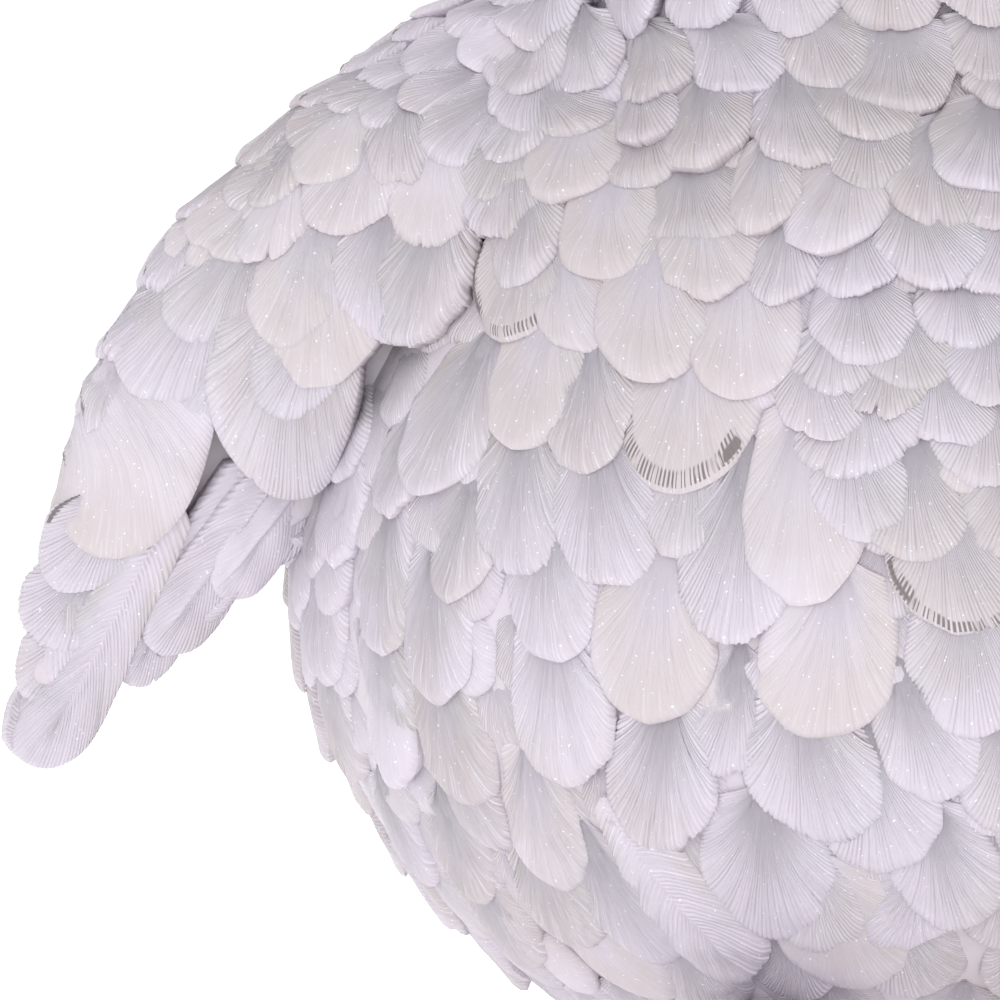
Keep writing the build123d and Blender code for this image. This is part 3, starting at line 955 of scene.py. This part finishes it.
def feather_mesh(name, grown_feathers, material, nodes):
    """One mesh out of grown feathers."""
    vertices, corners, sizes, values = [], [], [], []
    start = 0
    for points, quads, skirt, floor, data in grown_feathers:
        points[:, 2] = np.maximum(points[:, 2], FLOOR_CLEARANCE)
        vertices.append(points)
        for faces in (quads, skirt, floor):
            corners.append((faces + start).reshape(-1))
            sizes.append(np.full(len(faces), faces.shape[1]))
        values.append(data)
        start += len(points)
    vertices = (np.vstack(vertices) + [0, AXIS_Y, 0]) * MM
    corners = np.concatenate(corners)
    sizes = np.concatenate(sizes)
    mesh = bpy.data.meshes.new(name)
    mesh.vertices.add(len(vertices))
    mesh.vertices.foreach_set("co", vertices.astype(np.float32).reshape(-1))
    mesh.loops.add(len(corners))
    mesh.loops.foreach_set("vertex_index", corners.astype(np.int32))
    mesh.polygons.add(len(sizes))
    mesh.polygons.foreach_set("loop_start", (np.cumsum(sizes) - sizes).astype(np.int32))
    mesh.polygons.foreach_set("use_smooth", np.ones(len(sizes), bool))
    mesh.update(calc_edges=True)
    for key in values[0]:
        attribute = mesh.attributes.new(key, "FLOAT", "POINT")
        attribute.data.foreach_set("value", np.concatenate([v[key] for v in values]).astype(np.float32))
    mesh.materials.append(material)
    piece = bpy.data.objects.new(name, mesh)
    bpy.context.scene.collection.objects.link(piece)
    return dress(piece, nodes)


def body_core(material):
    """Smooth form under the feathers of the body and the head, closed at both ends."""
    cosine, sine = circle(96)
    top = CHEEK_Z + HEAD_RISE - CORE_DEPTH - 0.4
    rings = []
    for z in np.linspace(FLOOR_CLEARANCE + 0.8, top, 90):
        radius = ring_radius(z) - (CORE_DEPTH - SKIN_DEPTH)
        rings.append(np.hstack([radius * cosine, radius * sine, np.full_like(sine, z)]))
    vertices = np.vstack(rings)
    _, normal = body_field(vertices)
    vertices -= CORE_FACE_DIP * face_dip(vertices)[:, None] * normal
    rings = vertices.reshape(len(rings), -1, 3)
    closed_tube("body_and_head_core", rings, material, ["body_casting", "head_casting"])


def toe_core(side, number, material):
    """Round-ended toe under the feathers of one foot, out to its claw. side is 1 for the right."""
    cosine, sine = circle(24)
    start, end = toe_line(TOE_SPREADS[number])
    reach = np.linalg.norm(end - start)
    ahead = (end - start) / reach
    across = np.cross(ahead, [0, 0, 1.0])
    radius = TOE_RADIUS - TOE_SKIN
    rings = []
    for place in np.linspace(-3.0, reach + 0.97 * radius, 20):
        girth = math.sqrt(radius**2 - max(place - reach, 0) ** 2)
        rings.append(start + place * ahead + girth * (cosine * across + sine * [0, 0, 1]))
    foot = "right_foot" if side > 0 else "left_foot"
    name = f"{foot}_toe_{number + 1}_core"
    rings = np.array(rings) * [side, 1, 1]
    closed_tube(name, rings, material, [foot + "_casting"], inside_out=side > 0)


def wing_core(side, material):
    """Smooth blade under the feathers of one wing. side is 1 for the right."""
    cosine, sine = circle(40)
    rings = []
    for station in np.linspace(0, len(WING_CENTRES) - 1.4, 44):
        centre, half_chord, half_depth, chord = wing_at(station)
        half_chord = max(half_chord - np.interp(station, [0, 3, 4.5, 7], [2.9, 3.2, 4.4, 4.4]), 1.0)
        half_depth = max(half_depth - np.interp(station, [0, 2.6, 3.6, 7], [2.7, 3.2, 6.5, 6.5]), 0.8)
        rings.append(centre + half_chord * cosine * chord + half_depth * sine * [0, 1, 0])
    wing = "right_wing" if side > 0 else "left_wing"
    rings = np.array(rings) * [side, 1, 1]
    closed_tube(wing + "_core", rings, material, [wing + "_casting"], inside_out=side < 0)


# ------------------------------------------------------------------ materials


class Nodes:
    """Short calls for building one material's node tree."""

    def __init__(self, name):
        self.material = bpy.data.materials.new(name)
        self.material.use_nodes = True
        self.tree = self.material.node_tree
        self.shader = self.tree.nodes["Principled BSDF"]

    def link(self, value, socket):
        if isinstance(value, bpy.types.NodeSocket):
            self.tree.links.new(value, socket)
        else:
            socket.default_value = value

    def math(self, operation, *values):
        node = self.tree.nodes.new("ShaderNodeMath")
        node.operation = operation
        for value, socket in zip(values, node.inputs):
            self.link(value, socket)
        return node.outputs[0]

    def times(self, first, second):
        return self.math("MULTIPLY", first, second)

    def value(self, name):
        node = self.tree.nodes.new("ShaderNodeAttribute")
        node.attribute_name = name
        return node.outputs["Fac"]

    def vector(self, x, y, z=0.0):
        node = self.tree.nodes.new("ShaderNodeCombineXYZ")
        for socket, part in zip(node.inputs, (x, y, z)):
            self.link(part, socket)
        return node.outputs[0]

    def place(self):
        return self.tree.nodes.new("ShaderNodeTexCoord").outputs["Object"]

    def noise(self, vector, scale, detail=2.0):
        node = self.tree.nodes.new("ShaderNodeTexNoise")
        self.link(vector, node.inputs["Vector"])
        node.inputs["Scale"].default_value = scale
        node.inputs["Detail"].default_value = detail
        return node.outputs["Fac"]

    def step(self, value, low, high):
        node = self.tree.nodes.new("ShaderNodeMapRange")
        node.interpolation_type = "SMOOTHSTEP"
        self.link(value, node.inputs["Value"])
        node.inputs["From Min"].default_value = low
        node.inputs["From Max"].default_value = high
        return node.outputs[0]

    def mix(self, share, first, second):
        node = self.tree.nodes.new("ShaderNodeMix")
        node.data_type = "RGBA"
        self.link(share, node.inputs["Factor"])
        self.link(first, node.inputs["A"])
        self.link(second, node.inputs["B"])
        return node.outputs["Result"]

    def bump(self, height, distance, strength):
        node = self.tree.nodes.new("ShaderNodeBump")
        node.inputs["Strength"].default_value = strength
        node.inputs["Distance"].default_value = distance
        self.link(height, node.inputs["Height"])
        self.link(node.outputs[0], self.shader.inputs["Normal"])


# Paint.
WHITE = (0.645, 0.62, 0.685, 1)
LAVENDER = (0.545, 0.50, 0.565, 1)
# Painted shade: a little darker than the lavender ground, for the bottoms of the barb grooves.
GROOVE_SHADE = (0.52, 0.475, 0.535, 1)
CREAM = (0.485, 0.44, 0.455, 1)
PINK = (0.49, 0.435, 0.46, 1)
BROWN_BLACK = (0.06, 0.045, 0.04, 1)
# Painted glints: the sparkle of tiny glitter flecks, painted in as white.
GLINT_WHITE = (0.84, 0.83, 0.88, 1)
AMBER = (0.75, 0.33, 0.01, 1)
YELLOW = (0.95, 0.62, 0.06, 1)
EYE_RIM = (0.03, 0.015, 0.01, 1)
PUPIL = (0.004, 0.004, 0.004, 1)
HORN = (0.02, 0.018, 0.018, 1)
FELT = (0.72, 0.70, 0.72, 1)
RUBBER = (0.03, 0.03, 0.03, 1)
PALE = (0.97, 0.97, 0.97, 1)


def resin_shader(nodes):
    """What painted resin has in common: a soft sheen and a little light let through."""
    nodes.shader.inputs["Roughness"].default_value = 0.48
    nodes.shader.inputs["Specular IOR Level"].default_value = 0.35
    nodes.shader.inputs["Subsurface Weight"].default_value = 0.12
    nodes.shader.inputs["Subsurface Radius"].default_value = (1.0, 0.7, 0.65)
    nodes.shader.inputs["Subsurface Scale"].default_value = 0.0015


def feather_material():
    """White feather: lavender ground with painted shade at the groove bottoms, dry-brushed barbs, cream
    patches, white specks painted in as glitter glints, dark strokes.
    """
    nodes = Nodes("painted_feather")
    u, v = nodes.value("u"), nodes.value("v")
    tone, smooth, rim = nodes.value("tone"), nodes.value("smooth"), nodes.value("rim")
    place = nodes.place()
    rough = nodes.math("SUBTRACT", 1.0, smooth)

    wobble = nodes.noise(nodes.vector(u, nodes.times(v, 2.5)), 0.5)
    phase = nodes.math("ADD", u, nodes.times(wobble, 0.5))
    barb = nodes.math("FLOOR", phase)
    inside = nodes.math("FRACT", phase)
    off_ridge = nodes.math("ABSOLUTE", nodes.math("MULTIPLY_ADD", inside, 2.0, -1.0))
    peak = nodes.math("SUBTRACT", 1.0, off_ridge)
    own = nodes.times(barb, 5.17)
    chance = nodes.noise(nodes.vector(own, nodes.times(v, 1.7), tone), 1.0, 2.0)
    stroke = nodes.times(nodes.step(peak, 0.55, 1.0), nodes.step(chance, 0.42, 0.62))
    bare = nodes.math("MULTIPLY_ADD", smooth, -0.8, 1.0)
    stroke = nodes.times(stroke, bare)

    broad = nodes.noise(place, 40.0, 3.0)
    warm = nodes.step(nodes.math("MULTIPLY_ADD", tone, 0.24, broad), 0.52, 0.74)
    lobe = nodes.mix(warm, LAVENDER, CREAM)
    blush = nodes.step(nodes.noise(place, 85.0, 2.0), 0.56, 0.74)
    lobe = nodes.mix(nodes.times(blush, 0.6), lobe, PINK)
    ground = nodes.mix(nodes.step(rim, 0.3, 0.75), LAVENDER, lobe)
    # Painted shade at the bottoms of the barb grooves, less on smooth feathers.
    groove_shade = nodes.times(nodes.step(peak, 0.35, 0.0), nodes.times(rough, 0.4))
    ground = nodes.mix(groove_shade, ground, GROOVE_SHADE)
    colour = nodes.mix(nodes.times(stroke, 0.85), ground, WHITE)
    # Painted glints: tiny white specks for the sparkle of glitter flecks.
    glints = nodes.step(nodes.noise(place, 3000.0, 0.0), 0.79, 0.84)
    colour = nodes.mix(nodes.times(glints, 0.85), colour, GLINT_WHITE)

    mark = nodes.value("mark")
    dash = nodes.times(nodes.step(peak, 0.7, 0.35), nodes.step(chance, 0.4, 0.5))
    dash = nodes.math("MAXIMUM", dash, nodes.step(mark, 1.1, 1.5))
    dash = nodes.times(dash, nodes.step(mark, 0.35, 0.6))
    colour = nodes.mix(nodes.times(dash, 0.75), colour, BROWN_BLACK)
    nodes.link(colour, nodes.shader.inputs["Base Color"])
    resin_shader(nodes)
    grain = nodes.times(nodes.noise(place, 700.0, 3.0), 0.5)
    height = nodes.math("MULTIPLY_ADD", nodes.times(peak, rough), 0.8, grain)
    nodes.bump(height, 0.00018, 0.8)
    return nodes.material


def core_material():
    nodes = Nodes("painted_resin")
    place = nodes.place()
    share = nodes.step(nodes.noise(place, 60.0, 3.0), 0.4, 0.7)
    nodes.link(nodes.mix(share, LAVENDER, CREAM), nodes.shader.inputs["Base Color"])
    resin_shader(nodes)
    nodes.bump(nodes.noise(place, 500.0, 4.0), 0.0004, 0.6)
    return nodes.material


def plain_material(name, colour, roughness):
    nodes = Nodes(name)
    nodes.shader.inputs["Base Color"].default_value = colour
    nodes.shader.inputs["Roughness"].default_value = roughness
    return nodes.material


def keep_node(name, material):
    """Shows a CAD node as it is, with a better material."""
    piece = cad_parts[name]
    piece.data.materials.clear()
    piece.data.materials.append(material)


# ------------------------------------------------------------------ the owl


def covered_front(x, y, z):
    """Whether the feathers laid one by one cover this place, on either side of the front."""
    return y < 0 and FRONT_LOW < z < FRONT_HIGH and abs(x) < FRONT_HALF_WIDTH


def elsewhere(x, y, z):
    return not covered_front(x, y, z)


def off_face(x, y, z):
    return not in_face(x, y, z)


FEATHER = feather_material()
CORE = core_material()
BODY = ["body_casting"]
HEAD = ["head_casting"]
RIGHT_WING = ["right_wing_casting"]
LEFT_WING = ["left_wing_casting"]
RIGHT_FOOT = ["right_foot_casting", "right_foot_dowel"]
LEFT_FOOT = ["left_foot_casting", "left_foot_dowel"]


def both_sides(name, feathers, nodes, other_nodes):
    """One piece of feathers on the right and its like on the left."""
    feather_piece("right_" + name, feathers, FEATHER, nodes)
    feather_piece("left_" + name, list(mirrored(feathers)), FEATHER, other_nodes)


def lay_front():
    both_sides("ruff_feathers", front_feathers(RUFF, body_field, on_skin, lift=0.25), HEAD, HEAD)
    both_sides("shoulder_feathers", front_feathers(SHOULDER, owl_field, on_owl), BODY, BODY)
    both_sides("flank_feathers", front_feathers(FLANK, body_field, on_skin), BODY, BODY)
    both_sides("breast_feathers", front_feathers(BREAST, body_field, on_skin), BODY, BODY)
    both_sides("belly_feathers", front_feathers(BELLY, body_field, on_skin), BODY, BODY)


def lay_wings():
    coverts = front_feathers(WING_COVERTS, owl_field, on_owl)
    both_sides("wing_coverts", coverts, RIGHT_WING, LEFT_WING)
    flight = end_feathers(WING_FLIGHT, -1, kind="shaft", fine=True, thickness=2.4, rise=1.3)
    flight += end_feathers(WING_STACK, -1, fine=True, lift=-0.4)
    both_sides("flight_feathers", flight, RIGHT_WING, LEFT_WING)
    both_sides("wing_edge_feathers", wing_edge_feathers(), RIGHT_WING, LEFT_WING)
    back = end_feathers(WING_FLIGHT, 1, kind="shaft", fine=True, thickness=1.1, rise=1.1)
    both_sides("wing_back_feathers", back + wing_back_feathers(), RIGHT_WING, LEFT_WING)


def lay_rings():
    rows = ring_rows(116, 5, 7.5)
    under = ring_feathers(rows, 12, 14, covered_front, lift=-1.25, rise=1.35)
    feather_piece("front_under_feathers", under, FEATHER, BODY)
    back = ring_feathers([z for z in rows if z > SHOULDER_Z], 12.5, 15, elsewhere, on_owl)
    back += ring_feathers([z for z in rows if z <= SHOULDER_Z], 12.5, 15, elsewhere)
    feather_piece("back_feathers", back, FEATHER, BODY)
    head = ring_feathers(ring_rows(192.5, 118, 6.0), 9.5, 11, off_face)
    feather_piece("head_feathers", head, FEATHER, HEAD)


def lay_brow():
    brow = front_feathers(BROW, body_field, on_face, fine=False, rise=1.4)
    sides = [feather for feather in brow if feather["tip"][0] < -1]
    middle = [feather for feather in brow if feather["tip"][0] >= -1]
    both_sides("brow_feathers", sides, HEAD, HEAD)
    feather_piece("forehead_feathers", middle, FEATHER, HEAD)


def eye_material():
    """Amber iris with a black pupil and a dark rim, in rings about the way the eye looks."""
    nodes = Nodes("owl_eye")
    reach = nodes.value("ring")
    fibres = nodes.noise(nodes.place(), 1500.0, 2.0)
    iris = nodes.mix(fibres, AMBER, YELLOW)
    rimmed = nodes.mix(nodes.step(reach, 0.80, 0.92), iris, EYE_RIM)
    colour = nodes.mix(nodes.step(reach, 0.47, 0.44), rimmed, PUPIL)
    nodes.link(colour, nodes.shader.inputs["Base Color"])
    nodes.shader.inputs["Roughness"].default_value = 0.04
    nodes.shader.inputs["Coat Weight"].default_value = 0.6
    return nodes.material


def add_eye(name, flip, material):
    """Dome of one eye's ball, closed flat behind. Its paint follows the reach from its middle."""
    columns = 48
    cosine, sine = circle(columns)
    out = EYE_OUT * flip / np.linalg.norm(EYE_OUT)
    side = np.cross(out, [0, 0, 1.0])
    up = np.cross(side, out)
    tilts = np.linspace(math.radians(EYE_SPREAD), 0.02, 16)
    rings = []
    for tilt in tilts:
        away = math.sin(tilt) * (cosine * side + sine * up)
        rings.append(EYE_CENTRE * flip + EYE_RADIUS * (math.cos(tilt) * out + away))
    piece = closed_tube(name + "_ball", np.array(rings), material, [name])
    reach = piece.data.attributes.new("ring", "FLOAT", "POINT")
    reach.data.foreach_set("value", np.repeat(EYE_RADIUS * np.sin(tilts) / EYE_FACE_RADIUS, columns))


def lay_cores():
    """The plain forms under the feathers."""
    for number in range(len(TOE_SPREADS)):
        toe_core(1, number, CORE)
        toe_core(-1, number, CORE)
    body_core(CORE)
    wing_core(1, CORE)
    wing_core(-1, CORE)


def add_eyes():
    glass = eye_material()
    add_eye("right_eye", np.ones(3), glass)
    add_eye("left_eye", MIRROR, glass)


def keep_small_nodes():
    horn = plain_material("horn_black", HORN, 0.25)
    for name in ("right_foot_claws", "left_foot_claws", "beak"):
        keep_node(name, horn)
    keep_node("felt_pad", plain_material("grey_felt", FELT, 0.95))
    keep_node("filling_hole_bung", plain_material("black_rubber", RUBBER, 0.6))


lay_front()
lay_wings()
lay_rings()
feather_piece("tail_feathers", tail_feathers(), FEATHER, ["tail_casting"])
lay_brow()
both_sides("face_feathers", face_feathers(), HEAD, HEAD)
both_sides("foot_feathers", foot_feathers(), RIGHT_FOOT, LEFT_FOOT)
both_sides("shoulder_top_feathers", shoulder_top_feathers(), BODY, BODY)
lay_cores()
add_eyes()
keep_small_nodes()


# ------------------------------------------------------------------ stage


def plain_floor():
    bpy.ops.mesh.primitive_plane_add(size=8, location=(0, 0, 0))
    floor = bpy.context.object
    floor.name = "floor"
    nodes = Nodes("pale_floor")
    nodes.shader.inputs["Base Color"].default_value = PALE
    nodes.shader.inputs["Roughness"].default_value = 0.9
    nodes.shader.inputs["Emission Color"].default_value = (1, 1, 1, 1)
    nodes.shader.inputs["Emission Strength"].default_value = 0.6
    floor.data.materials.append(nodes.material)


def area_light(name, place, size, power):
    light = bpy.data.lights.new(name, "AREA")
    light.size = size
    light.energy = power
    lamp = bpy.data.objects.new(name, light)
    lamp.location = place
    aim = -lamp.location.normalized()
    lamp.rotation_euler = aim.to_track_quat("-Z", "Y").to_euler()
    bpy.context.scene.collection.objects.link(lamp)


def studio():
    world = bpy.data.worlds.new("studio")
    bpy.context.scene.world = world
    world.use_nodes = True
    background = world.node_tree.nodes["Background"]
    background.inputs["Color"].default_value = (1, 1, 1, 1)
    background.inputs["Strength"].default_value = 1.09
    area_light("key", (-0.05, -1.1, 0.75), 0.7, 2.0)
    area_light("low_fill", (-0.1, -0.9, 0.1), 0.4, 1.2)
    bpy.context.scene.view_settings.view_transform = "Standard"


def camera():
    """Long lens, level with the middle of the owl's right front quarter."""
    field = 0.105
    distance = 1.2
    breast = 0.045
    target = (-48.3 * MM, AXIS_Y * MM, 63.3 * MM)
    lens = bpy.data.cameras.new("camera")
    lens.sensor_width = 36
    lens.lens = lens.sensor_width * (distance - breast) / field
    lens.clip_start = 0.05
    holder = bpy.data.objects.new("camera", lens)
    holder.location = (target[0], target[1] - distance, target[2])
    holder.rotation_euler = (math.pi / 2, 0, 0)
    bpy.context.scene.collection.objects.link(holder)
    bpy.context.scene.camera = holder


plain_floor()
studio()
camera()
